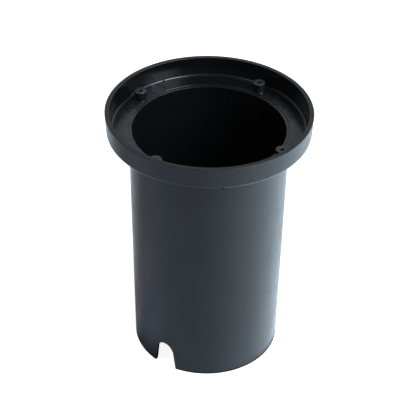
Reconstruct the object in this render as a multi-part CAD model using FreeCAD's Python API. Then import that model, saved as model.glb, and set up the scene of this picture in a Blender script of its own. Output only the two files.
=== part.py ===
import FreeCAD, Part
import os

# Ground sleeve for a recessed light: a cup-shaped collar joined to a tapered tube.
# The origin is the centre of the lower edge, +Z is up and the cable notch faces -Y.
# Lengths are in millimetres and angles in degrees. Chamfers and fillets are flat, and their
# sizes are the lengths that they take from both sides of a corner.

# Whole sleeve
overall_height = 247.0
bore_radius = 67.3
overrun = 5.0

# Tube: tapered towards its foot, with a flange that carries the collar
tube_wall = 2.45
tube_draft = 2.82
foot_wall = 3.4
foot_chamfer = 0.5
end_inner_chamfer = 0.6
end_outer_chamfer = 0.25
flange_reach = 5.0
flange_thickness = 2.6
flange_fillet = 1.6
tube_turn = 1.9

# Collar: a drafted wall round a flat ring floor
floor_width = 15.47
floor_thickness = 2.4
recess_depth = 18.2
rim_width = 4.1
rim_outer_chamfer = 0.7
rim_inner_chamfer = 0.8
wall_inner_draft = 0.6
wall_outer_draft = 1.2
wall_foot_fillet = 1.2
collar_foot_chamfer = 2.0

# Joint between the two: the tube's end stands in the collar's floor
seat_clearance = 0.08
seat_chamfer = 0.15
end_step = 0.7

# Screw bosses, standing free on the collar's floor
boss_count = 4
boss_radius = 5.5
boss_draft = 0.1
boss_height = 8.5
boss_seat_gap = 0.12
boss_top_chamfer = 0.2
boss_foot_fillet = 0.3
pilot_radius = 1.75
pilot_cover = 1.5
pilot_mouth_step = 0.25
pilot_mouth_depth = 0.25

# Marks that the mould leaves on the collar
ejector_radius = 7.4
ejector_inset = 0.9
ejector_depth = 0.15
ejector_angle = 163.8
gate_tab_width = 2.8
gate_tab_height = 1.2
gate_tab_inset = 0.1
gate_tab_angle = -46.6

# Cable notch: legs that flare to the foot under a half-ellipse crown
notch_half_width = 9.07
notch_flare = 1.97
notch_leg_height = 14.73
notch_crown_height = 12.28

# Levels that follow from the sizes above
floor_level = overall_height - recess_depth
seat_level = floor_level - floor_thickness
tube_top_level = floor_level - end_step
flange_level = seat_level - flange_thickness
boss_top_level = floor_level + boss_height

# Radii that follow from the sizes above
tube_top_radius = bore_radius + tube_wall
tube_foot_radius = tube_top_radius - tube_draft
foot_bore_radius = tube_foot_radius - foot_wall
seat_bore_radius = tube_top_radius + seat_clearance
seat_mouth_radius = seat_bore_radius + seat_chamfer
boss_circle_radius = seat_mouth_radius + boss_seat_gap + boss_radius
floor_outer_radius = seat_bore_radius + floor_width
rim_inner_radius = floor_outer_radius + wall_inner_draft
rim_radius = rim_inner_radius + rim_width
collar_foot_radius = rim_radius - wall_outer_draft
ejector_circle_radius = floor_outer_radius - wall_foot_fillet - ejector_inset - ejector_radius

axis_point = FreeCAD.Vector(0, 0, 0)
up = FreeCAD.Vector(0, 0, 1)
full_turn = 360.0


def in_plane(radius, level):
    """Point in the XZ plane, from its distance to the axis and its level."""
    return FreeCAD.Vector(radius, 0, level)


def sharp(radius, level):
    """Corner of a turned profile, left square."""
    return in_plane(radius, level), 0


def bevelled(radius, level, leg):
    """Corner of a turned profile with a flat across it: a chamfer outside, a fillet inside."""
    return in_plane(radius, level), leg


def turned(corners):
    """Solid of revolution about Z from the corners of its profile."""
    points = []
    for index, (here, leg) in enumerate(corners):
        if leg == 0:
            points.append(here)
            continue
        before = corners[index - 1][0]
        after = corners[(index + 1) % len(corners)][0]
        points.append(here + (before - here).normalize() * leg)
        points.append(here + (after - here).normalize() * leg)
    outline = Part.makePolygon(points + points[:1])
    return Part.Face(outline).revolve(axis_point, up, full_turn)


def at_angle(shape, angle):
    """Copy of a shape, turned about Z."""
    copy = shape.copy()
    copy.rotate(axis_point, up, angle)
    return copy


def collar_shell():
    """Cup wall, rim and ring floor in one profile. The tube's seat is cut later."""
    blank_radius = seat_bore_radius - overrun
    return turned([
        sharp(blank_radius, seat_level),
        bevelled(collar_foot_radius, seat_level, collar_foot_chamfer),
        bevelled(rim_radius, overall_height, rim_outer_chamfer),
        bevelled(rim_inner_radius, overall_height, rim_inner_chamfer),
        bevelled(floor_outer_radius, floor_level, wall_foot_fillet),
        sharp(blank_radius, floor_level),
    ])


def boss():
    """Drafted post with a chamfered top edge and a fillet at its foot, on +X."""
    root_level = (floor_level + seat_level) / 2
    foot_radius = boss_radius + boss_draft
    root_radius = foot_radius + 2 * boss_foot_fillet
    post = turned([
        sharp(0, root_level),
        sharp(root_radius, root_level),
        sharp(root_radius, floor_level),
        bevelled(foot_radius, floor_level, boss_foot_fillet),
        bevelled(boss_radius, boss_top_level, boss_top_chamfer),
        sharp(0, boss_top_level),
    ])
    post.translate(in_plane(boss_circle_radius, 0))
    return post


def pilot_hole():
    """Blind hole for a screw, with a small countersink at its mouth, on +X."""
    end_level = seat_level + pilot_cover
    mouth_radius = pilot_radius + pilot_mouth_step
    hole = turned([
        sharp(0, end_level),
        sharp(pilot_radius, end_level),
        sharp(pilot_radius, boss_top_level - pilot_mouth_depth),
        sharp(mouth_radius, boss_top_level),
        sharp(mouth_radius, boss_top_level + overrun),
        sharp(0, boss_top_level + overrun),
    ])
    hole.translate(in_plane(boss_circle_radius, 0))
    return hole


def seat_bore():
    """Cutter for the tube's seat: a bore with a chamfer at the floor."""
    return turned([
        sharp(0, seat_level - overrun),
        sharp(seat_bore_radius, seat_level - overrun),
        sharp(seat_bore_radius, floor_level - seat_chamfer),
        sharp(seat_mouth_radius, floor_level),
        sharp(seat_mouth_radius, boss_top_level + overrun),
        sharp(0, boss_top_level + overrun),
    ])


def ejector_mark():
    """Shallow disc that an ejector pin leaves on the floor."""
    place = in_plane(ejector_circle_radius, floor_level - ejector_depth)
    disc = Part.makeCylinder(ejector_radius, ejector_depth + overrun, place, up)
    return at_angle(disc, ejector_angle)


def gate_tab():
    """Stub in the bevel of the collar's lower edge, where the moulding was cut from its runner."""
    outer_radius = collar_foot_radius - gate_tab_inset
    length = collar_foot_chamfer + overrun
    corner = FreeCAD.Vector(outer_radius - length, -gate_tab_width / 2, seat_level)
    return at_angle(Part.makeBox(length, gate_tab_width, gate_tab_height, corner), gate_tab_angle)


def make_collar():
    """Head moulding with its bosses."""
    angles = [full_turn * index / boss_count for index in range(boss_count)]
    body = collar_shell().fuse([at_angle(boss(), angle) for angle in angles] + [gate_tab()])
    cutters = [at_angle(pilot_hole(), angle) for angle in angles]
    cutters += [seat_bore(), ejector_mark()]
    return body.cut(cutters).removeSplitter()


def tube_shell():
    """Tapered wall, seat flange and the short end that shows in the collar's floor."""
    flange_radius = tube_top_radius + flange_reach
    slope_share = flange_level / seat_level
    under_flange_radius = tube_foot_radius + tube_draft * slope_share
    return turned([
        bevelled(foot_bore_radius, 0, foot_chamfer),
        bevelled(tube_foot_radius, 0, foot_chamfer),
        bevelled(under_flange_radius, flange_level, flange_fillet),
        sharp(flange_radius, flange_level),
        sharp(flange_radius, seat_level),
        sharp(tube_top_radius, seat_level),
        bevelled(tube_top_radius, tube_top_level, end_outer_chamfer),
        bevelled(bore_radius, tube_top_level, end_inner_chamfer),
    ])


def across(offset, level):
    """Point on the notch's outline, which lies in the XZ plane."""
    return FreeCAD.Vector(offset, 0, level)


def notch_cutter():
    """Arch outline, pushed from the axis out through the front of the tube's wall."""
    reach = FreeCAD.Vector(0, -rim_radius, 0)
    middle = across(0, notch_leg_height)
    side = across(notch_half_width, notch_leg_height)
    top = across(0, notch_leg_height + notch_crown_height)
    longer, shorter = side, top
    if notch_crown_height > notch_half_width:
        longer, shorter = top, side
    crown = Part.Wire(Part.Ellipse(longer, shorter, middle).toShape())
    flare_share = notch_flare / notch_leg_height
    foot_half_width = notch_half_width + notch_flare + flare_share * overrun
    legs = Part.makePolygon([
        side,
        across(foot_half_width, -overrun),
        across(-foot_half_width, -overrun),
        across(-notch_half_width, notch_leg_height),
        side,
    ])
    return Part.Face(crown).extrude(reach).fuse(Part.Face(legs).extrude(reach))


def make_tube():
    """Sleeve with its cable notch, turned a little in the collar as the real one is."""
    return at_angle(tube_shell().cut(notch_cutter()), tube_turn)


def main():
    os.makedirs("parts", exist_ok=True)
    for name, make in (("collar", make_collar), ("tube", make_tube)):
        shape = make()
        shape.exportStep(os.path.join("parts", name + ".step"))
        print(name, "solids", len(shape.Solids), "valid", shape.isValid(),
              "volume", round(shape.Volume), "height", round(shape.BoundBox.ZLength, 2))


main()
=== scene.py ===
import bpy
import math
import numpy as np
from mathutils import Matrix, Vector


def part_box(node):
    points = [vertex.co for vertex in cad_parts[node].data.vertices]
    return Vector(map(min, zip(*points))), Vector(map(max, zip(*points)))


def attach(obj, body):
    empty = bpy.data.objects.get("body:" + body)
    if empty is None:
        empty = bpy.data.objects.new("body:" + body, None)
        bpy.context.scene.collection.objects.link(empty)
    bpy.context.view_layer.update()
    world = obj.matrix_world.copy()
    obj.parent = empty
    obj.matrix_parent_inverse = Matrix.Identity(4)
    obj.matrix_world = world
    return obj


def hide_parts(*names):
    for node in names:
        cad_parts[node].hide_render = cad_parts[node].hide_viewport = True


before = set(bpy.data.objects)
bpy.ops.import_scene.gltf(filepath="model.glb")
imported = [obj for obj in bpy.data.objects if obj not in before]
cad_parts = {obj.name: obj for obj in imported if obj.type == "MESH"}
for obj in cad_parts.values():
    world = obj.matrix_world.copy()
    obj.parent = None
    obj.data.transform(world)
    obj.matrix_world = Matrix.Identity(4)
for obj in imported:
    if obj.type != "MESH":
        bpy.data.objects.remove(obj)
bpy.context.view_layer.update()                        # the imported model: a collar and a tube on one body

mm = 0.001                               # the object's sizes are written in millimetres
sharpAngle = 38                          # degrees, a bend above this is a real edge

collarLow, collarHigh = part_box("collar")
rimLevel = collarHigh.z                  # top of the collar
seatLevel = collarLow.z                  # underside of the collar, on the tube's flange
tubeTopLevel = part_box("tube")[1].z       # end of the tube, seen in the collar's floor


def unit(vector):
    # the same direction, one long
    return vector / np.linalg.norm(vector)


def eased(share):
    # starts and ends gently: three times the square less twice the cube
    return share * share * (3 - 2 * share)


def onCircle(radius, degrees, level):
    # a point at a compass angle counted from +X towards +Y
    turn = math.radians(degrees)
    return np.array((radius * math.cos(turn), radius * math.sin(turn), level))


def roundedOutline(corners, closed, steps=7, support=0.18 * mm):
    # corners are radius, level and rounding: each rounded one becomes an arc that touches both its sides,
    # with one more point on either side of it that keeps the shading of the flat parts flat
    points = []
    for k, (radius, level, rounding) in enumerate(corners):
        here = np.array((radius, level))
        isEnd = not closed and k in (0, len(corners) - 1)
        if isEnd or rounding == 0:
            points.append(here)
            continue
        back = unit(np.array(corners[k - 1][:2]) - here)
        ahead = unit(np.array(corners[(k + 1) % len(corners)][:2]) - here)
        half = math.acos(back @ ahead) / 2
        tangent = rounding / math.tan(half)
        centre = here + unit(back + ahead) * rounding / math.sin(half)
        start = here + back * tangent - centre
        end = here + ahead * tangent - centre
        share = np.linspace(0, 1, steps + 1)[:, None]
        sweep = math.pi - 2 * half
        arc = (start * np.sin((1 - share) * sweep) + end * np.sin(share * sweep)) / math.sin(sweep)
        points.append(centre + start + back * support)
        points.extend(centre + arc)
        points.append(centre + end + ahead * support)
    return np.array(points)


def lippedOutline(corners, top):
    # the outline of a cutter that rounds the mouth it leaves: its last corner but one is rounded,
    # and from the lip of that round it goes straight up and in to the axis
    outline = roundedOutline(corners, closed=False)[:-2]
    return np.vstack([outline, [(outline[-1, 0], top), (0, top)]])


def refined(outline, longest):
    # cuts every stretch of a closed outline that is longer than the longest wanted into equal shorter ones
    pieces = []
    for start, end in zip(outline, np.roll(outline, -1, axis=0)):
        count = max(1, math.ceil(np.linalg.norm(end - start) / longest))
        pieces.append(start + (end - start) * np.linspace(0, 1, count, endpoint=False)[:, None])
    return np.vstack(pieces)


def spun(outline, columns):
    # an outline carried round the Z axis: X and Y are its radius times the cosine and the sine
    # of an angle that goes once round, and Z is its level
    angle = np.linspace(0, 2 * math.pi, columns, endpoint=False)
    radius, level = outline[:, :1], outline[:, 1:]
    return np.stack([radius * np.cos(angle), radius * np.sin(angle), level + 0 * angle], axis=-1)


def tyreFaces(points):
    # the grid closes on itself both ways, and a negative volume says that it is inside out
    rows, columns, _ = points.shape
    index = np.arange(rows * columns).reshape(rows, columns)
    right = np.roll(index, -1, axis=1)
    faces = np.stack([index, right, np.roll(right, -1, axis=0), np.roll(index, -1, axis=0)], axis=-1)
    faces = faces.reshape(-1, 4)
    a, b, c, d = (points.reshape(-1, 3)[faces[:, k]] for k in range(4))
    volume = (a * (np.cross(b, c) + np.cross(c, d))).sum()
    return (faces if volume > 0 else faces[:, ::-1]).tolist()


def latheSolid(outline, columns, place=(0, 0, 0)):
    # a turned solid at a place, from an outline that starts and ends on the axis, bottom first:
    # rings of quads between the two ends, and a fan of triangles to the point at each end
    points = spun(outline[1:-1], columns)
    rows = len(outline) - 2
    index = np.arange(rows * columns).reshape(rows, columns)
    right = np.roll(index, -1, axis=1)
    quads = np.stack([index[:-1], right[:-1], right[1:], index[1:]], axis=-1).reshape(-1, 4)
    bottom, top = rows * columns, rows * columns + 1
    lower = np.stack([right[0], index[0], np.full(columns, bottom)], axis=-1)
    upper = np.stack([index[-1], right[-1], np.full(columns, top)], axis=-1)
    poles = [[0, 0, outline[0][1]], [0, 0, outline[-1][1]]]
    faces = quads.tolist() + lower.tolist() + upper.tolist()
    return np.vstack([points.reshape(-1, 3), poles]) + place, faces


def meshPiece(name, points, faces):
    # a new piece from its points and the corners of its faces
    mesh = bpy.data.meshes.new(name)
    mesh.from_pydata(points.tolist(), [], faces)
    piece = bpy.data.objects.new(name, mesh)
    bpy.context.scene.collection.objects.link(piece)
    return piece


def joinedSolids(name, solids):
    # several closed solids, apart from each other, in one mesh
    points, faces, offset = [], [], 0
    for ownPoints, ownFaces in solids:
        points.append(ownPoints)
        faces += [[corner + offset for corner in face] for face in ownFaces]
        offset += len(ownPoints)
    return meshPiece(name, np.vstack(points), faces)


def applied(piece):
    # the piece keeps its finished mesh and has no modifier left
    evaluated = piece.evaluated_get(bpy.context.evaluated_depsgraph_get())
    mesh = bpy.data.meshes.new_from_object(evaluated)
    piece.modifiers.clear()
    piece.data = mesh
    mesh.name = piece.name


def combine(piece, tool, operation):
    # joins the tool to the piece or cuts it out, and puts the tool away
    step = piece.modifiers.new("combine", "BOOLEAN")
    step.operation = operation
    step.solver = "EXACT"
    step.object = tool
    applied(piece)
    bpy.data.objects.remove(tool)


def smoothShaded(piece):
    # round parts shade smoothly, real edges stay sharp, and the larger face sets the normal at a corner
    mesh = piece.data
    mesh.polygons.foreach_set("use_smooth", np.ones(len(mesh.polygons), bool))
    mesh.set_sharp_from_angle(angle=math.radians(sharpAngle))
    weighted = piece.modifiers.new("weighted", "WEIGHTED_NORMAL")
    weighted.keep_sharp = True
    applied(piece)


collar = dict(
    columns=360,                         # steps round the ring
    longestStretch=1.5 * mm,             # of its outline between two rows
    rimRadius=90 * mm, rimWidth=4.1 * mm,
    rimOuterRound=0.5 * mm, rimInnerRound=0.35 * mm,
    footRadius=88.8 * mm, footRound=3.4 * mm,
    floorRadius=85.3 * mm, recessDepth=18.2 * mm, wallFillet=2.3 * mm,
    seatRadius=69.83 * mm, mouthRound=0.6 * mm,
    reamed=0.01 * mm,                    # added to the seat when what the bosses leave in it is cut away
    blankInset=5 * mm,                   # stock inside the seat before it is bored
    cutPast=6 * mm,                      # how far a cutter passes the surface it cuts
)
boss = dict(
    count=4, circleRadius=75.6 * mm,
    radius=5.5 * mm, draft=0.1 * mm, height=8.5 * mm,
    topRound=0.4 * mm, footFillet=0.35 * mm,
    sink=0.01 * mm,                      # its fillet runs out this far below the floor
    holeRadius=1.75 * mm, holeDepth=9.4 * mm,
    mouthRadius=2.0 * mm, mouthDepth=0.25 * mm,
    columns=72,
)
mouldMarks = dict(
    columns=96,
    ejectorAngle=163.8, ejectorRadius=7.4 * mm, ejectorCircle=75.8 * mm, ejectorDepth=0.2 * mm,
    grooveWidth=0.6 * mm, grooveDepth=0.6 * mm, grooveRound=0.4 * mm,    # round the ejector's disc
    gateAngle=-46.6, gateWidth=2.8 * mm, gateHeight=1.2 * mm, gateInset=0.1 * mm,
    gateSquareness=0.8,                  # 0 leaves the gate round and 1 makes it a full oblong
    gateEndShares=(0.42, 0.2),           # radius of its flat torn end and of a ring in it, in gate widths
    gateTear=0.12 * mm,                  # how uneven the torn end is
    tearRipples=(4.1, 5.3),              # radians for each millimetre, across and up
    pitWidth=2.3 * mm, pitHeight=0.9 * mm, pitDepth=2.2 * mm, pitLift=0.55 * mm,
    pitEndShare=0.35,                    # radius of the pit's flat end, in pit widths
    nickAngle=155.5, nickRadius=1.3 * mm,
    pinRadius=2.0 * mm, pinDepth=0.1 * mm, pinLift=2 * mm,
    pins=[(120.6, 8.8 * mm), (109.4, 6.6 * mm)],     # compass angle and depth below the rim
)
floorLevel = rimLevel - collar["recessDepth"]
bossTopLevel = floorLevel + boss["height"]


def collarStock():
    # the cup wall, rim and ring floor, with stock left inside for the tube's seat
    inner = collar["seatRadius"] - collar["blankInset"]
    corners = [
        (inner, seatLevel, 0),
        (collar["footRadius"], seatLevel, collar["footRound"]),
        (collar["rimRadius"], rimLevel, collar["rimOuterRound"]),
        (collar["rimRadius"] - collar["rimWidth"], rimLevel, collar["rimInnerRound"]),
        (collar["floorRadius"], floorLevel, collar["wallFillet"]),
        (inner, floorLevel, 0),
    ]
    outline = refined(roundedOutline(corners, closed=True), collar["longestStretch"])
    points = spun(outline, collar["columns"])
    return meshPiece("collarMoulding", points.reshape(-1, 3), tyreFaces(points))


def bossSolid(degrees):
    # a drafted post with a rounded top edge and a fillet that runs out on the floor
    root = (floorLevel + seatLevel) / 2
    fillet = boss["footFillet"]
    foot = boss["radius"] + boss["draft"]
    wide = foot + 2 * fillet
    corners = [
        (0, root, 0),
        (wide, root, 0),
        (wide, floorLevel - boss["sink"], 0),
        (foot, floorLevel - boss["sink"], fillet),
        (boss["radius"], bossTopLevel, boss["topRound"]),
        (0, bossTopLevel, 0),
    ]
    place = onCircle(boss["circleRadius"], degrees, 0)
    return latheSolid(roundedOutline(corners, closed=False), boss["columns"], place)


def holeCutter(degrees):
    # a blind hole with a small countersink at its mouth
    end, past = bossTopLevel - boss["holeDepth"], bossTopLevel + collar["cutPast"]
    outline = np.array([
        (0, end),
        (boss["holeRadius"], end),
        (boss["holeRadius"], bossTopLevel - boss["mouthDepth"]),
        (boss["mouthRadius"], bossTopLevel),
        (boss["mouthRadius"], past),
        (0, past),
    ])
    return latheSolid(outline, boss["columns"], onCircle(boss["circleRadius"], degrees, 0))


def seatCutter():
    # the bore that the tube's end stands in, rounded over at the floor
    low, high = seatLevel - collar["cutPast"], rimLevel + collar["cutPast"]
    corners = [
        (0, low, 0),
        (collar["seatRadius"], low, 0),
        (collar["seatRadius"], floorLevel, collar["mouthRound"]),
        (collar["rimRadius"], floorLevel, 0),
    ]
    return latheSolid(lippedOutline(corners, high), collar["columns"])


def reamCutter():
    # takes what the bosses leave standing in the bore
    radius = collar["seatRadius"] + collar["reamed"]
    low, high = seatLevel - collar["cutPast"], rimLevel + collar["cutPast"]
    return latheSolid(np.array([(0, low), (radius, low), (radius, high), (0, high)]), collar["columns"])


def ejectorCutter():
    # the flat disc that an ejector pin leaves in the floor, with a groove round it whose lip is rounded
    disc = floorLevel - mouldMarks["ejectorDepth"]
    groove = floorLevel - mouldMarks["grooveDepth"]
    outer = mouldMarks["ejectorRadius"]
    inner = outer - mouldMarks["grooveWidth"]
    corners = [
        (0, disc, 0),
        (inner, disc, 0),
        (inner, groove, 0),
        (outer, groove, 0),
        (outer, floorLevel, mouldMarks["grooveRound"]),
        (2 * outer, floorLevel, 0),
    ]
    place = onCircle(mouldMarks["ejectorCircle"], mouldMarks["ejectorAngle"], 0)
    return latheSolid(lippedOutline(corners, rimLevel), mouldMarks["columns"], place)


def nickCutter(steps=13):
    # half a circle of radius and level, turned into a ball that nicks the fillet at the foot of the wall
    lift = np.linspace(-math.pi / 2, math.pi / 2, steps)
    outline = mouldMarks["nickRadius"] * np.column_stack([np.cos(lift), np.sin(lift)])
    outline[[0, -1], 0] = 0
    place = onCircle(collar["floorRadius"], mouldMarks["nickAngle"], floorLevel)
    return latheSolid(outline, mouldMarks["columns"] // 4, place)


def lying(points, degrees, radius, level):
    # turns what stands on the origin along Z so that it lies along the radius, pointing out
    out = onCircle(1, degrees, 0)
    side = np.array((-out[1], out[0], 0))
    up = np.array((0, 0, 1))
    turned = points[:, :1] * side + points[:, 1:2] * up + points[:, 2:] * out
    return turned + out * radius + up * level


def gateStub():
    # a short bar along the radius, turned one wide and then stretched to its size: its circle is pushed
    # out towards an oblong by a power of the distance from the middle over the larger of the two distances
    # along the axes, and its torn end is moved by a sine across times a cosine up
    length = collar["footRound"] + collar["cutPast"]
    tear = mouldMarks["gateTear"]
    flat, ring = mouldMarks["gateEndShares"]
    outline = np.array([(0, 0), (0.5, 0), (0.5, length - tear), (flat, length), (ring, length), (0, length)])
    points, faces = latheSolid(outline, mouldMarks["columns"])
    fromMiddle = np.linalg.norm(points[:, :2], axis=1)
    widest = np.abs(points[:, :2]).max(axis=1)
    points[:, :2] *= (fromMiddle / np.maximum(widest, 1e-9))[:, None] ** mouldMarks["gateSquareness"]
    points[:, :2] *= (mouldMarks["gateWidth"], mouldMarks["gateHeight"])
    across, up = points[:, 0] / mm, points[:, 1] / mm
    acrossRipple, upRipple = mouldMarks["tearRipples"]
    ripple = np.sin(across * acrossRipple) * np.cos(up * upRipple + across)
    points[:, 2] += tear * ripple * (points[:, 2] > length / 2)
    inner = collar["footRadius"] - mouldMarks["gateInset"] - length
    middle = seatLevel + mouldMarks["gateHeight"] / 2
    return lying(points, mouldMarks["gateAngle"], inner, middle), faces


def gatePit():
    # the flattened round hollow that the torn gate leaves in its stub
    depth, share = mouldMarks["pitDepth"], mouldMarks["pitEndShare"]
    outline = np.array([(0, 0), (share, 0), (0.5, depth), (0.5, 2 * depth), (0, 2 * depth)])
    points, faces = latheSolid(outline, mouldMarks["columns"] // 2)
    points[:, :2] *= (mouldMarks["pitWidth"], mouldMarks["pitHeight"])
    inner = collar["footRadius"] - mouldMarks["gateInset"] - depth
    return lying(points, mouldMarks["gateAngle"], inner, seatLevel + mouldMarks["pitLift"]), faces


def pinCutter(degrees, depth):
    # the faint flat disc that a small pin leaves in the inner wall, whose radius there is mixed from
    # the rim's and the floor's by the depth
    share = depth / collar["recessDepth"]
    wall = (collar["rimRadius"] - collar["rimWidth"]) * (1 - share) + collar["floorRadius"] * share
    radius, lift = mouldMarks["pinRadius"], mouldMarks["pinLift"]
    end = lift + mouldMarks["pinDepth"]
    outline = np.array([(0, 0), (radius, 0), (radius, end), (0, end)])
    points, faces = latheSolid(outline, mouldMarks["columns"] // 2)
    return lying(points, degrees, wall - lift, rimLevel - depth), faces


def collarMoulding():
    # the stock is bored, the bosses and the gate are joined to it, and every hole and mark is cut
    piece = collarStock()
    compass = [360 * k / boss["count"] for k in range(boss["count"])]
    combine(piece, meshPiece("seat", *seatCutter()), "DIFFERENCE")
    combine(piece, joinedSolids("bosses", [bossSolid(angle) for angle in compass] + [gateStub()]), "UNION")
    cutters = [holeCutter(angle) for angle in compass]
    cutters += [pinCutter(*pin) for pin in mouldMarks["pins"]]
    cutters += [ejectorCutter(), gatePit(), nickCutter()]
    combine(piece, joinedSolids("cutters", cutters), "DIFFERENCE")
    combine(piece, meshPiece("ream", *reamCutter()), "DIFFERENCE")
    smoothShaded(piece)
    return piece


tube = dict(
    turn=1.9,                            # degrees, as it stands in the collar
    boreRadius=67.0 * mm, topRadius=69.75 * mm,
    footRadius=66.93 * mm, footBore=63.53 * mm,
    flangeRadius=74.75 * mm, flangeThickness=2.6 * mm, flangeFillet=2 * mm, flangeRound=0.2 * mm,
    endInnerRound=0.35 * mm, endOuterRound=0.15 * mm,
    edgeRound=0.5 * mm,                  # along the lower edge and the notch
    edgeSupport=0.2 * mm,                # from that round to the first row of the wall
    edgeSteps=6, endSteps=6, wallSteps=38,
    boreStretch=4 * mm, outsideStretch=8 * mm,       # plain wall that is turned with the end and the flange
    evenShare=0.6,                       # of the wall's height, over which its columns come to even steps
)
notch = dict(
    halfWidth=9.07 * mm, flare=1.97 * mm, legHeight=14.73 * mm, crownHeight=12.28 * mm,
    cornerRound=0.7 * mm,
    followTurn=30,                       # degrees past the notch, over which the wall's columns forget it
    crownSteps=44, legSteps=16, cornerSteps=8, footSteps=200,
)


def lowerEdge():
    # half of the tube's lower edge, from the top of the notch to the far side: a quarter of an ellipse,
    # a straight leg that leans outwards, a small round and the level foot. Gives, for each point,
    # the distance across and the height, the direction into the wall, the angle round the tube,
    # and how much the point follows the notch rather than the tube
    a, b = notch["halfWidth"], notch["crownHeight"]
    swing = np.linspace(math.pi / 2, 0, notch["crownSteps"], endpoint=False)
    crown = np.column_stack([a * np.cos(swing), notch["legHeight"] + b * np.sin(swing)])
    crownIn = np.column_stack([np.cos(swing) / a, np.sin(swing) / b])
    crownIn /= np.linalg.norm(crownIn, axis=1)[:, None]

    down = unit(np.array((notch["flare"], -notch["legHeight"])))
    lean = math.atan2(notch["flare"], notch["legHeight"])
    opening = math.pi / 2 + lean
    tangent = notch["cornerRound"] / math.tan(opening / 2)
    corner = np.array((a + notch["flare"], 0))
    top = np.array((a, notch["legHeight"]))
    share = np.linspace(0, 1, notch["legSteps"], endpoint=False)[:, None]
    leg = top + (corner - down * tangent - top) * share
    legIn = np.tile((math.cos(lean), math.sin(lean)), (len(leg), 1))

    facing = np.linspace(lean, math.pi / 2, notch["cornerSteps"], endpoint=False)
    bendIn = np.column_stack([np.cos(facing), np.sin(facing)])
    middle = corner + (tangent, notch["cornerRound"])
    bend = middle - notch["cornerRound"] * bendIn

    across = np.vstack([crown, leg, bend])
    into = np.vstack([crownIn, legIn, bendIn])
    startAngle = math.asin(middle[0] / tube["footRadius"])
    footAngle = np.linspace(startAngle, math.pi, notch["footSteps"])
    still = np.column_stack([np.full_like(footAngle, middle[0]), 0 * footAngle])
    upward = np.tile((0.0, 1.0), (len(footAngle), 1))
    angle = np.concatenate([np.arcsin(across[:, 0] / tube["footRadius"]), footAngle])
    fade = np.clip((footAngle - startAngle) / math.radians(notch["followTurn"]), 0, 1)
    follow = np.concatenate([np.ones(len(across)), 1 - eased(fade)])
    return np.vstack([across, still]), np.vstack([into, upward]), angle, follow


def outerRadius(level):
    # the outside of the tapered wall: the foot's radius and a share of its gain that grows with the level
    return tube["footRadius"] + (tube["topRadius"] - tube["footRadius"]) * level / seatLevel


def innerRadius(level):
    # the bore, in the same way
    return tube["footBore"] + (tube["boreRadius"] - tube["footBore"]) * level / tubeTopLevel


def edgeRow(edge, inward, radiusAt):
    # a row at one distance from the lower edge: each point goes that far into the wall, and where it
    # follows the notch its angle is the one whose sine times the radius gives the distance across
    place, into, edgeAngle, follow = edge
    across = place[:, 0] + into[:, 0] * inward
    level = place[:, 1] + into[:, 1] * inward
    radius = radiusAt(level)
    base = np.arcsin(place[:, 0] / tube["footRadius"])
    return edgeAngle + follow * (np.arcsin(across / radius) - base), radius, level


def roundedEdge(edge):
    # rows over the lower edge: a quarter circle on the outside, the flat, and one on the inside
    e = tube["edgeRound"]
    quarter = np.linspace(0, math.pi / 2, tube["edgeSteps"])
    rows = []
    for swing in quarter:
        rise, inset = e * (1 - math.sin(swing)), e * (1 - math.cos(swing))
        rows.append(edgeRow(edge, rise, lambda z: outerRadius(z) - inset))
    for share in np.linspace(0, 1, tube["edgeSteps"])[1:-1]:
        rows.append(edgeRow(edge, 0, lambda z: (
            (outerRadius(z) - e) * (1 - share) + (innerRadius(z) + e) * share)))
    for swing in quarter:
        rise, inset = e * (1 - math.cos(swing)), e * (1 - math.sin(swing))
        rows.append(edgeRow(edge, rise, lambda z: innerRadius(z) + inset))
    return rows


def wallRows(start, even, endLevel, radiusAt):
    # rows from the edge up to the end of the wall, drifting to even steps round the tube
    angle, _, level = start
    rows = []
    for share in np.linspace(0, 1, tube["wallSteps"])[1:-1]:
        drift = eased(min(1, share / tube["evenShare"]))
        height = level + (endLevel - level) * share
        rows.append((angle + (even - angle) * drift, radiusAt(height), height))
    return rows


def turnedTop():
    # the outline of what is turned: up the bore, over the end, round the flange and down the outside
    under = seatLevel - tube["flangeThickness"]
    last = seatLevel - tube["outsideStretch"]
    corners = [
        (tube["boreRadius"], tubeTopLevel - tube["boreStretch"], 0),
        (tube["boreRadius"], tubeTopLevel, tube["endInnerRound"]),
        (tube["topRadius"], tubeTopLevel, tube["endOuterRound"]),
        (tube["topRadius"], seatLevel, 0),
        (tube["flangeRadius"], seatLevel, tube["flangeRound"]),
        (tube["flangeRadius"], under, tube["flangeRound"]),
        (outerRadius(under), under, tube["flangeFillet"]),
        (outerRadius(last), last, 0),
    ]
    return roundedOutline(corners, closed=False, steps=tube["endSteps"])


def withOtherHalf(rows, sign):
    # each row goes on round the other side, without its two ends again
    return np.hstack([rows, sign * rows[:, -2:0:-1]])


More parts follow.
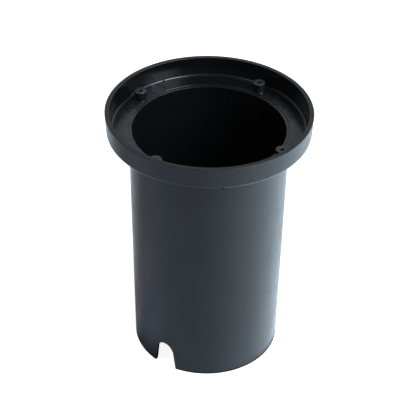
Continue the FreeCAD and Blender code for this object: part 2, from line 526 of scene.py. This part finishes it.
def tubeSleeve():
    # a section of the wall carried along the tube's lower edge: round the edge itself, up the inside,
    # over the end, round the flange and down the outside. The angle is counted from the middle of the
    # notch: X is the radius times its sine and Y is the radius times its cosine, towards the front
    edge = lowerEdge()
    count = len(edge[0])
    even = math.pi * np.arange(count) / (count - 1)
    top = turnedTop()
    support = tube["edgeRound"] + tube["edgeSupport"]
    innerStart = edgeRow(edge, support, innerRadius)
    outerStart = edgeRow(edge, support, outerRadius)
    rows = roundedEdge(edge) + [innerStart] + wallRows(innerStart, even, top[0][1], innerRadius)
    rows += [(even, radius, level) for radius, level in top]
    rows += wallRows(outerStart, even, top[-1][1], outerRadius)[::-1] + [outerStart]
    angle, radius, level = (np.array([row[k] + np.zeros(count) for row in rows]) for k in range(3))
    angle = withOtherHalf(angle, -1) + math.radians(tube["turn"])
    radius, level = withOtherHalf(radius, 1), withOtherHalf(level, 1)
    points = np.stack([radius * np.sin(angle), -radius * np.cos(angle), level], axis=-1)
    piece = meshPiece("tubeSleeve", points.reshape(-1, 3), tyreFaces(points))
    smoothShaded(piece)
    return piece


def addNode(tree, kind, settings=None, **sockets):
    # a shader node with its settings and sockets filled in: a socket given is linked, a value is set,
    # and n0, n1 and so on stand for a socket's number
    made = tree.nodes.new(kind)
    for name, value in (settings or {}).items():
        setattr(made, name, value)
    for name, value in sockets.items():
        socket = made.inputs[int(name[1:])] if name[0] == "n" and name[1:].isdigit() else made.inputs[name]
        if isinstance(value, bpy.types.NodeSocket):
            tree.links.new(value, socket)
        else:
            socket.default_value = value
    return made


def freshTree(owner):
    # an empty node tree on a material, a world or a lamp
    owner.use_nodes = True
    owner.node_tree.nodes.clear()
    return owner.node_tree


def objectPlace(tree):
    # the piece's own coordinates
    return addNode(tree, "ShaderNodeTexCoord").outputs["Object"]


def noiseField(tree, coordinates, scale, detail, stretch=(1, 1, 1), roughness=0.55):
    # noise in the piece's own coordinates, which are scaled along the axes first
    mapped = addNode(tree, "ShaderNodeMapping", n0=coordinates, n3=stretch)
    return addNode(tree, "ShaderNodeTexNoise", Vector=mapped.outputs[0], Scale=scale, Detail=detail,
                   Roughness=roughness).outputs[0]


def ranged(tree, value, low, high, fromLow=0.3, fromHigh=0.7):
    # a straight step from one value to another, over the middle of what noise gives if nothing else is said
    return addNode(tree, "ShaderNodeMapRange", n0=value, n1=fromLow, n2=fromHigh, n3=low, n4=high).outputs[0]


def slope(tree, value, fromLow, fromHigh, low, high):
    # a soft step from one value to another
    return addNode(tree, "ShaderNodeMapRange", dict(interpolation_type="SMOOTHSTEP"),
                   n0=value, n1=fromLow, n2=fromHigh, n3=low, n4=high).outputs[0]


def vectorMath(tree, operation, first, second=(0, 0, 0), output=0):
    # one step of arithmetic with vectors, whose answer is a vector or, at the output named Value, a number
    made = addNode(tree, "ShaderNodeVectorMath", dict(operation=operation), n0=first, n1=second)
    return made.outputs[output]


def scalarMath(tree, operation, first, second=0.0):
    # one step of arithmetic with numbers
    return addNode(tree, "ShaderNodeMath", dict(operation=operation), n0=first, n1=second).outputs[0]


def product(tree, *factors):
    # all the factors multiplied together
    total = factors[0]
    for factor in factors[1:]:
        total = scalarMath(tree, "MULTIPLY", total, factor)
    return total


def along(tree, vector, direction):
    # how far a vector reaches in one direction
    return vectorMath(tree, "DOT_PRODUCT", vector, direction, output="Value")


def reach(tree, vector):
    # how long a vector is
    return vectorMath(tree, "LENGTH", vector, output="Value")


def levelled(tree, vector):
    # the vector without its height
    return vectorMath(tree, "MULTIPLY", vector, (1, 1, 0))


def heightOf(tree, vector):
    # the vector's height alone
    return addNode(tree, "ShaderNodeSeparateXYZ", n0=vector).outputs[2]


def mixedColour(tree, share, first, second):
    # the first colour where the share is none and the second where it is one
    return addNode(tree, "ShaderNodeMix", dict(data_type="RGBA"), n0=share, n6=first, n7=second).outputs[2]


def mixedValue(tree, share, first, second):
    # the same with numbers
    return addNode(tree, "ShaderNodeMix", n0=share, n2=first, n3=second).outputs[0]


plastic = dict(                          # what both mouldings share
    ior=1.5,
    driftScale=38, driftDetail=3, driftStretch=(1, 1, 0.6),      # slow change of gloss and black
    mottleScale=210, mottleDetail=5,     # small change of gloss
    grainDetail=2, drawDetail=3, swellDetail=1,
    maskEdge=0.2 * mm,                   # half the width of the step from inside to outside
)
collarFinish = dict(
    dark=(0.0064, 0.0066, 0.0076, 1), light=(0.0096, 0.0100, 0.0115, 1),
    # a darker colour for the polished inside: painted shade of the recess
    inside=(0.0058, 0.0059, 0.0066, 1),
    insideRadius=86.2 * mm, insideLean=0.0,      # the polished side of the mould ends at the rim
    insideTop=rimLevel,
    insideRough=(0.15, 0.23), outsideRough=(0.30, 0.38), mottleRough=0.07,
    grainScale=2600, grainDepth=0.010 * mm, drawScale=260, drawStretch=(1, 1, 0.05), drawDepth=0.012 * mm,
    swellScale=22, swellDepth=0.12 * mm,
    paintedTopLight=(0.025, 0.0255, 0.0275, 1), bossTopRough=0.27,         # boss tops, rougher and painted lighter for the lamp light on them
    post=(0.0048, 0.0050, 0.0056, 1), postRough=0.42,            # sides of the bosses, painted darker as shade in the recess
    # screw holes, painted nearly black as their shade, and glossy
    hole=(0.0020, 0.0020, 0.0022, 1), holeRough=0.12,
    rim=(0.0050, 0.0052, 0.0060, 1), rimRough=0.38,              # the rim's top, darker and rougher than the rest
    wornAndGlint=(0.024, 0.0245, 0.027, 1), wornRough=0.48,              # patches on its outer corner: knocks, with painted glints of light along the edge
    # painted light on two sides of the ring floor, lighter and rougher
    floorLightColour=(0.034, 0.0345, 0.036, 1), floorLightRough=0.30,
)
zoneSteps = dict(                        # where a zone starts and is full, from the edge that bounds it
    postSide=(0.3 * mm, 0.5 * mm), postRoot=(0.1 * mm, 0.4 * mm), postTop=(-0.3 * mm, -0.1 * mm),
    holeSide=(0.02 * mm, 0.1 * mm), holeMouth=(-0.4 * mm, -0.2 * mm),
    rim=(-0.6 * mm, -0.2 * mm),
    wornSide=(-0.7 * mm, -0.2 * mm), wornTop=(-1.2 * mm, -0.5 * mm),
    knockScale=330, knockDetail=4, knockSpan=(0.46, 0.64),
)
tubeFinish = dict(
    dark=(0.0064, 0.0066, 0.0076, 1), light=(0.0096, 0.0100, 0.0115, 1),
    # a darker colour for the bore: painted shade
    inside=(0.0052, 0.0053, 0.0056, 1),
    insideRadius=66.5 * mm,                      # at the foot, just under the outside
    insideLean=0.0125,                           # how much that radius gains with the height
    insideTop=tubeTopLevel - 0.4 * mm,           # the ring above this is half way to the outside
    insideRough=(0.23, 0.31), outsideRough=(0.30, 0.38), mottleRough=0.04,
    grainScale=2200, grainDepth=0.012 * mm, drawScale=240, drawStretch=(1, 1, 0.02), drawDepth=0.014 * mm,
    swellScale=16, swellDepth=0.16 * mm,
    # painted light on two sides of the tube's end in the floor, lighter and rougher
    floorLightColour=(0.034, 0.0345, 0.036, 1), floorLightRough=0.30,
)
paintedFloorLight = dict(
    azimuth=41,                          # the two sides of the floor that are painted lighter, from +X
    sides=(0.66, 0.97), outward=(72 * mm, 80 * mm),
    above=(0.2 * mm, 0.6 * mm), below=(-1.2 * mm, -0.9 * mm),    # from the floor's level
    patchScale=200, patchDetail=2, patchSpan=(0.35, 0.65), patchShare=(0.3, 1.0),
)


def rising(tree, value, edge, step):
    # none before the step at an edge, one after it
    return ranged(tree, value, 0, 1, edge + step[0], edge + step[1])


def falling(tree, value, edge, step):
    # one before the step at an edge, none after it
    return ranged(tree, value, 1, 0, edge + step[0], edge + step[1])


def collarZones(tree, coordinates, look):
    # where the collar looks different, each a mask with its colour and roughness: boss sides painted darker
    # as shade, boss tops rougher and painted lighter for the light on them, screw holes painted nearly black
    # as shade, the rim darker and rougher, and knocks along its corner with painted glints. The bosses stand
    # on the X and Y axes, so the larger of the two distances along them, less the boss circle, and the
    # smaller one give the distance from a boss
    parts = addNode(tree, "ShaderNodeSeparateXYZ", n0=vectorMath(tree, "ABSOLUTE", coordinates)).outputs
    far = scalarMath(tree, "SUBTRACT", scalarMath(tree, "MAXIMUM", parts[0], parts[1]), boss["circleRadius"])
    near = scalarMath(tree, "MINIMUM", parts[0], parts[1])
    fromBoss = reach(tree, addNode(tree, "ShaderNodeCombineXYZ", n0=far, n1=near).outputs[0])
    fromAxis = reach(tree, levelled(tree, coordinates))
    height = parts[2]
    onPost = product(tree, falling(tree, fromBoss, boss["radius"], zoneSteps["postSide"]),
                     rising(tree, height, floorLevel, zoneSteps["postRoot"]))
    onTop = product(tree, onPost, rising(tree, height, bossTopLevel, zoneSteps["postTop"]))
    inHole = product(tree, falling(tree, fromBoss, boss["holeRadius"], zoneSteps["holeSide"]),
                     falling(tree, height, bossTopLevel, zoneSteps["holeMouth"]))
    onRim = rising(tree, height, rimLevel, zoneSteps["rim"])
    knocks = noiseField(tree, coordinates, zoneSteps["knockScale"], zoneSteps["knockDetail"])
    onCorner = product(tree, rising(tree, fromAxis, collar["rimRadius"], zoneSteps["wornSide"]),
                       rising(tree, height, rimLevel, zoneSteps["wornTop"]),
                       ranged(tree, knocks, 0, 1, *zoneSteps["knockSpan"]))
    return [(onPost, look["post"], look["postRough"]), (onTop, look["paintedTopLight"], look["bossTopRough"]),
            (inHole, look["hole"], look["holeRough"]), (onRim, look["rim"], look["rimRough"]),
            (onCorner, look["wornAndGlint"], look["wornRough"])]


def paintedFloorLightMask(tree, coordinates, radius):
    # painted light on the level floor round the bore, on two opposite sides, fading outwards and in patches
    compass = vectorMath(tree, "NORMALIZE", levelled(tree, coordinates))
    aside = along(tree, compass, onCircle(1, paintedFloorLight["azimuth"], 0).tolist())
    sides = ranged(tree, scalarMath(tree, "ABSOLUTE", aside), 0, 1, *paintedFloorLight["sides"])
    level = heightOf(tree, coordinates)
    onFloor = product(tree, falling(tree, level, floorLevel, paintedFloorLight["above"]),
                      rising(tree, level, floorLevel, paintedFloorLight["below"]),
                      ranged(tree, radius, 1, 0, *paintedFloorLight["outward"]))
    patches = noiseField(tree, coordinates, paintedFloorLight["patchScale"], paintedFloorLight["patchDetail"])
    return product(tree, sides, onFloor, ranged(tree, patches, *paintedFloorLight["patchShare"], *paintedFloorLight["patchSpan"]))


def outsideMask(tree, coordinates, radius, look):
    # none on the polished inside of the mould, which is also painted darker as shade, and one outside, by
    # the distance from the axis, which leans with height on a taper. Above the level where the inside ends
    # it is at least half
    level = heightOf(tree, coordinates)
    radius = scalarMath(tree, "SUBTRACT", radius, product(tree, level, look["insideLean"]))
    step = (-plastic["maskEdge"], plastic["maskEdge"])
    above = ranged(tree, level, 0, 0.5, look["insideTop"], look["insideTop"] + plastic["maskEdge"])
    return scalarMath(tree, "MAXIMUM", rising(tree, radius, look["insideRadius"], step), above)


def mouldedPlastic(name, look, zones=None):
    # black moulded plastic: a fine grain, faint lines along the draw of the mould and a slow swell,
    # with the gloss and the black drifting a little over the surface
    material = bpy.data.materials.new(name)
    tree = freshTree(material)
    coordinates = objectPlace(tree)
    grain = noiseField(tree, coordinates, look["grainScale"], plastic["grainDetail"])
    draw = noiseField(tree, coordinates, look["drawScale"], plastic["drawDetail"], look["drawStretch"])
    swell = noiseField(tree, coordinates, look["swellScale"], plastic["swellDetail"])
    drift = noiseField(tree, coordinates, plastic["driftScale"], plastic["driftDetail"],
                       plastic["driftStretch"])
    mottle = noiseField(tree, coordinates, plastic["mottleScale"], plastic["mottleDetail"])
    radius = reach(tree, levelled(tree, coordinates))
    outside = outsideMask(tree, coordinates, radius, look)
    rough = mixedValue(tree, outside, ranged(tree, drift, *look["insideRough"]),
                       ranged(tree, drift, *look["outsideRough"]))
    colour = mixedColour(tree, ranged(tree, drift, 0, 1), look["dark"], look["light"])
    # the inside takes its darker colour: painted shade in the recess and the bore
    colour = mixedColour(tree, outside, look["inside"], colour)
    # the first layer is painted light on two sides of the floor
    layers = [(paintedFloorLightMask(tree, coordinates, radius), look["floorLightColour"], look["floorLightRough"])]
    if zones:
        layers += zones(tree, coordinates, look)
    for mask, paint, zoneRough in layers:
        colour = mixedColour(tree, mask, colour, paint)
        rough = mixedValue(tree, mask, rough, zoneRough)
    rough = scalarMath(tree, "ADD", rough, ranged(tree, mottle, -look["mottleRough"], look["mottleRough"]))
    normal = None
    reliefs = [(swell, look["swellDepth"]), (draw, look["drawDepth"]), (grain, look["grainDepth"])]
    for field, depth in reliefs:
        bump = addNode(tree, "ShaderNodeBump", Strength=1.0, Distance=depth, Height=field)
        if normal is not None:
            tree.links.new(normal, bump.inputs["Normal"])
        normal = bump.outputs[0]
    surface = addNode(tree, "ShaderNodeBsdfPrincipled", **{
        "Base Color": colour, "Roughness": rough, "IOR": plastic["ior"], "Normal": normal})
    addNode(tree, "ShaderNodeOutputMaterial", Surface=surface.outputs[0])
    return material


def dressed(piece, node, material):
    # the finished piece rides on the only body, stands for its construction node and takes its slot
    piece.data.materials.clear()
    piece.data.materials.append(material)
    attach(piece, "root")
    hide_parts(node)


print("tube")
dressed(tubeSleeve(), "tube", mouldedPlastic("tubePlastic", tubeFinish))
print("collar")
dressed(collarMoulding(), "collar", mouldedPlastic("collarPlastic", collarFinish, collarZones))

view = dict(
    azimuth=35.7, elevation=32.93,       # degrees, from the front towards the right, and up
    distance=1215.7 * mm, aim=rimLevel,  # from the centre of the rim
    roll=0.98, tilt=3.98, pan=-0.01,     # degrees, how the camera turns away from the rim's centre
    lens=122.45, sensor=36,
)


def turning(axis, degrees):
    # rotation about one of the camera's own axes
    c, s = math.cos(math.radians(degrees)), math.sin(math.radians(degrees))
    spin = {"x": ((1, 0, 0), (0, c, -s), (0, s, c)),
            "y": ((c, 0, s), (0, 1, 0), (-s, 0, c)),
            "z": ((c, -s, 0), (s, c, 0), (0, 0, 1))}
    return np.array(spin[axis])


def standing(x, y, z, place):
    # the matrix of something that stands at a place with these three axes
    matrix = np.identity(4)
    matrix[:3] = np.column_stack([x, y, z, place])
    return Matrix(matrix.tolist())


def addCamera():
    # stands on a sphere round the rim's centre, looks at it, and is then turned a little about its own axes
    up = math.radians(view["elevation"])
    compass = turning("z", view["azimuth"])
    place = compass @ np.array((0, -math.cos(up), math.sin(up))) * view["distance"]
    ahead = -unit(place)
    right = compass @ np.array((1.0, 0, 0))
    axes = np.array([right, np.cross(ahead, right), ahead])
    axes = turning("z", view["roll"]) @ turning("x", view["tilt"]) @ turning("y", view["pan"]) @ axes
    data = bpy.data.cameras.new("camera")
    data.lens = view["lens"]
    data.sensor_width = view["sensor"]
    camera = bpy.data.objects.new("camera", data)
    camera.matrix_world = standing(axes[0], -axes[1], -axes[2], place + (0, 0, view["aim"]))
    bpy.context.scene.collection.objects.link(camera)
    bpy.context.scene.camera = camera


studio = dict(                           # distances and sizes in metres
    softEdge=(0.2, 0.5),                 # where a panel starts to fade and is dark, as shares of it
    lamps=[                              # azimuth from the view, elevation, distance, size and power
        dict(name="key", azimuth=60, elevation=45, distance=1.8, size=(1.6, 1.9), power=90,
             colour=(0.74, 0.89, 1.0)),
        dict(name="fill", azimuth=-60, elevation=50, distance=2.1, size=(1.2, 1.2), power=6,
             colour=(1.0, 0.98, 0.95)),
    ],
    ambient=0.26, ambientColour=(0.95, 0.97, 1.0, 1),
    roomGlow=(0.14, 0.4), roomSpan=(-0.1, 0.9), roomColour=(0.92, 0.95, 1.0, 1),
    backGlow=0.42, backSpan=(0.25, 0.80),
    lowGlow=(0.35, 1.6), lowSpan=(-0.2, 1.0), lowFade=(0.30, 0.60),
)
paleFloor = dict(
    size=12.0, colour=(0.80, 0.80, 0.80, 1), lift=0.88,          # metres, and what whitens it to the camera
    # what a reflection shows of the floor, with its light and shadow painted in. The spans of pool, shadow,
    # near and foot are radii in metres, and the rest is how far a compass direction points to the key, or
    # right or away in the picture
    dim=(0.54, 0.63, 0.81, 1), key=(1.80, 2.20, 2.46, 1),
    keyTurn=25, keySpan=(-0.7, 1.0), keyPower=1.5,
    back=(1.45, 1.72, 1.98, 1), backRise=(0.25, 0.95), backSide=(-0.95, -0.3), backShare=(0.6, 1.0),
    left=(0.39, 0.39, 0.43, 1), leftRise=(-0.2, 0.2), leftEdge=(-0.75, -0.35),
    poolSpan=(0.60, 1.3), poolEdge=0.3,
    shadowDepth=0.50, shadowSpan=(0.075, 0.20), shadowEdge=(-1.0, -0.9), shadowEnd=(-0.10, 0.15),
    nearDepth=0.75, nearSpan=(0.069, 0.100), nearEnd=(-0.35, -0.05),
    footGlow=0.16, footSpan=(0.075, 0.125), footRise=(0.0, 0.4),
    contact=(0.8 * mm, 2.0 * mm),        # painted shade up to just outside the foot
)
imageRight = [math.cos(math.radians(view["azimuth"])), math.sin(math.radians(view["azimuth"])), 0]
awayFromView = [-imageRight[1], imageRight[0], 0]
keySide = onCircle(1, view["azimuth"] + paleFloor["keyTurn"], 0).tolist()


def glowing(tree, colour, strength):
    # a surface that gives light
    return addNode(tree, "ShaderNodeEmission", Color=colour, Strength=strength).outputs[0]


def addLamps():
    # soft panels that look at the middle of the object
    target = np.array((0, 0, rimLevel / 2))
    for lamp in studio["lamps"]:
        data = bpy.data.lights.new(lamp["name"], "AREA")
        data.energy, data.color, data.shape = lamp["power"], lamp["colour"], "RECTANGLE"
        data.size, data.size_y = lamp["size"]
        tree = freshTree(data)
        place = addNode(tree, "ShaderNodeNewGeometry").outputs["Parametric"]
        fromMiddle = vectorMath(tree, "DISTANCE", place, (0.5, 0.5, 0), output="Value")
        strength = slope(tree, fromMiddle, *studio["softEdge"], 1.0, 0.0)
        addNode(tree, "ShaderNodeOutputLight", Surface=glowing(tree, (1, 1, 1, 1), strength))
        piece = bpy.data.objects.new(lamp["name"], data)
        up = math.radians(lamp["elevation"])
        compass = turning("z", view["azimuth"] + lamp["azimuth"])
        away = compass @ np.array((0, -math.cos(up), math.sin(up)))
        side = compass @ np.array((1.0, 0, 0))
        piece.matrix_world = standing(side, np.cross(away, side), away, target + away * lamp["distance"])
        piece.visible_camera = False
        bpy.context.scene.collection.objects.link(piece)


def seenDirectly(tree):
    # one for what the camera sees, straight or through something clear
    path = addNode(tree, "ShaderNodeLightPath").outputs
    return scalarMath(tree, "MAXIMUM", path["Is Camera Ray"], path["Is Transmission Ray"])


def seenInGloss(tree):
    # one for what shows in a reflection
    return addNode(tree, "ShaderNodeLightPath").outputs["Is Glossy Ray"]


def floorShine(tree, coordinates):
    # the colour and strength of the floor in a reflection, with light and shadow painted in: brighter
    # towards the key, bright behind the object, dim at the back left, a painted shadow to the left that is
    # deeper close by, a little painted glow close to the foot on the right, and painted shade up to just
    # outside the foot
    radius = reach(tree, coordinates)
    compass = vectorMath(tree, "NORMALIZE", coordinates)
    right, away = along(tree, compass, imageRight), along(tree, compass, awayFromView)
    key = ranged(tree, along(tree, compass, keySide), 0.0, 1.0, *paleFloor["keySpan"])
    key = scalarMath(tree, "POWER", key, paleFloor["keyPower"])
    onLeft = slope(tree, right, *paleFloor["leftEdge"], 1.0, 0.0)
    left = product(tree, slope(tree, away, *paleFloor["leftRise"], 0.0, 1.0), onLeft)
    back = product(tree, slope(tree, away, *paleFloor["backRise"], 0.0, 1.0),
                   slope(tree, right, *paleFloor["backSide"], *paleFloor["backShare"]))
    colour = mixedColour(tree, key, paleFloor["dim"], paleFloor["key"])
    colour = mixedColour(tree, left, colour, paleFloor["left"])
    colour = mixedColour(tree, back, colour, paleFloor["back"])
    shadow = product(tree, slope(tree, radius, *paleFloor["shadowSpan"], paleFloor["shadowDepth"], 0.0),
                     slope(tree, right, *paleFloor["shadowEdge"], 1.0, 0.0),
                     slope(tree, away, *paleFloor["shadowEnd"], 1.0, 0.0))
    near = product(tree, slope(tree, radius, *paleFloor["nearSpan"], paleFloor["nearDepth"], 0.0), onLeft,
                   slope(tree, away, *paleFloor["nearEnd"], 1.0, 0.0))
    beside = product(tree, slope(tree, radius, *paleFloor["footSpan"], paleFloor["footGlow"], 0.0),
                     slope(tree, right, *paleFloor["footRise"], 0.0, 1.0))
    fromFoot = scalarMath(tree, "SUBTRACT", radius, tube["footRadius"])
    strength = product(tree, slope(tree, radius, *paleFloor["poolSpan"], 1.0, paleFloor["poolEdge"]),
                       slope(tree, fromFoot, *paleFloor["contact"], 0.0, 1.0),
                       scalarMath(tree, "SUBTRACT", 1.0, shadow), scalarMath(tree, "SUBTRACT", 1.0, near),
                       scalarMath(tree, "ADD", 1.0, beside))
    return colour, strength


def addFloor():
    # a wide pale sheet that keeps the shadow and is lifted to white for the camera
    half = paleFloor["size"] / 2
    points = np.array([(-half, -half, 0), (half, -half, 0), (half, half, 0), (-half, half, 0)])
    floor = meshPiece("floor", points, [[0, 1, 2, 3]])
    material = bpy.data.materials.new("paleFloor")
    tree = freshTree(material)
    gloss = seenInGloss(tree)
    shineColour, shineStrength = floorShine(tree, objectPlace(tree))
    colour = mixedColour(tree, gloss, paleFloor["colour"], (0, 0, 0, 1))
    matt = addNode(tree, "ShaderNodeBsdfDiffuse", Color=colour).outputs[0]
    white = glowing(tree, (1, 1, 1, 1), product(tree, seenDirectly(tree), paleFloor["lift"]))
    shine = glowing(tree, shineColour, product(tree, gloss, shineStrength))
    both = addNode(tree, "ShaderNodeAddShader", n0=white, n1=shine).outputs[0]
    surface = addNode(tree, "ShaderNodeAddShader", n0=matt, n1=both).outputs[0]
    addNode(tree, "ShaderNodeOutputMaterial", Surface=surface)
    floor.data.materials.append(material)


def backdrop(tree, colour, strength):
    # light of one colour from all round
    return addNode(tree, "ShaderNodeBackground", Color=colour, Strength=strength).outputs[0]


def mixedShaders(tree, share, first, second):
    # the first surface where the share is none and the second where it is one
    return addNode(tree, "ShaderNodeMixShader", n0=share, n1=first, n2=second).outputs[0]


def addWorld():
    # white to the camera and a soft even light from all round. A reflection shows a dim room that is
    # paler behind the object and on the key's side
    world = bpy.data.worlds.new("studio")
    tree = freshTree(world)
    direction = addNode(tree, "ShaderNodeTexCoord").outputs["Generated"]
    right, away = along(tree, direction, imageRight), along(tree, direction, awayFromView)
    side = slope(tree, right, *studio["roomSpan"], *studio["roomGlow"])
    back = slope(tree, away, *studio["backSpan"], 0.0, studio["backGlow"])
    low = product(tree, slope(tree, right, *studio["lowSpan"], *studio["lowGlow"]),
                  slope(tree, along(tree, direction, (0, 0, 1)), *studio["lowFade"], 1.0, 0.0))
    glow = scalarMath(tree, "MAXIMUM", scalarMath(tree, "ADD", side, back), low)
    ambient = backdrop(tree, studio["ambientColour"], studio["ambient"])
    room = backdrop(tree, studio["roomColour"], glow)
    soft = mixedShaders(tree, seenInGloss(tree), ambient, room)
    mixed = mixedShaders(tree, seenDirectly(tree), soft, backdrop(tree, (1, 1, 1, 1), 1.0))
    addNode(tree, "ShaderNodeOutputWorld", Surface=mixed)
    bpy.context.scene.world = world


print("studio")
addCamera()
addLamps()
addFloor()
addWorld()
bpy.context.scene.view_settings.view_transform = "Standard"

print("done")
